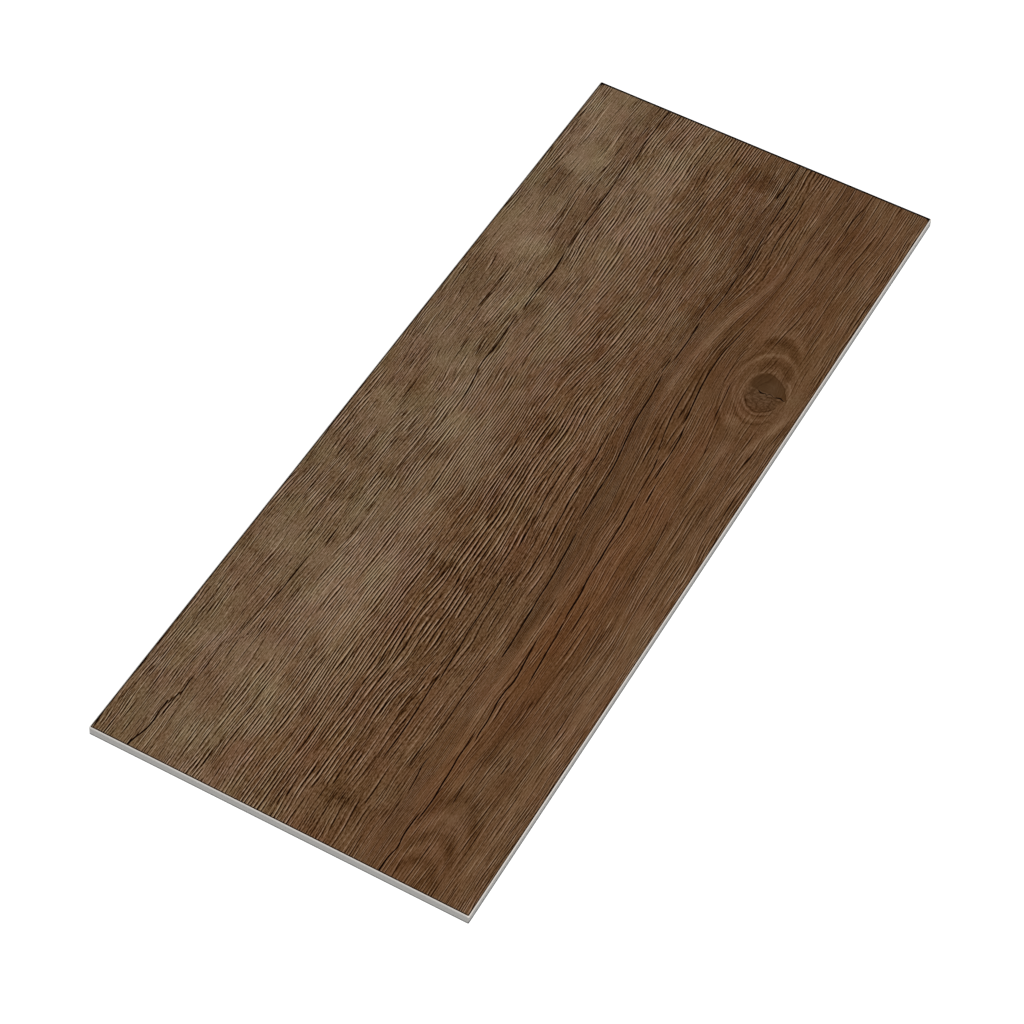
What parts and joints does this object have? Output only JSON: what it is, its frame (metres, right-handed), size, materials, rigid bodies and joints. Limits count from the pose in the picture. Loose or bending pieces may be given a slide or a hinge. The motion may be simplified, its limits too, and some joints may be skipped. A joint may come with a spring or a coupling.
{
  "type": "vinyl floor plank",
  "caption": "Square-edged vinyl floor plank: a pale filled core under a brown wood-grain top layer with an eased edge, for gluing or loose-laying side by side.",
  "frame": {"origin": "centre of the back face, the face that lies on the subfloor", "axes": "+X across the plank, +Y along the plank and its grain, +Z out of the printed walking face"},
  "size_m": [0.18, 0.457, 0.005],
  "materials": {
    "core": "matt pale grey filled vinyl, sheared edges",
    "wood_print": "brown weathered wood-grain print under a matt embossed clear wear layer"
  },
  "bodies": {
    "root": {"vinyl_core": "core", "printed_top_layer": "wood_print"}
  },
  "joints": []
}
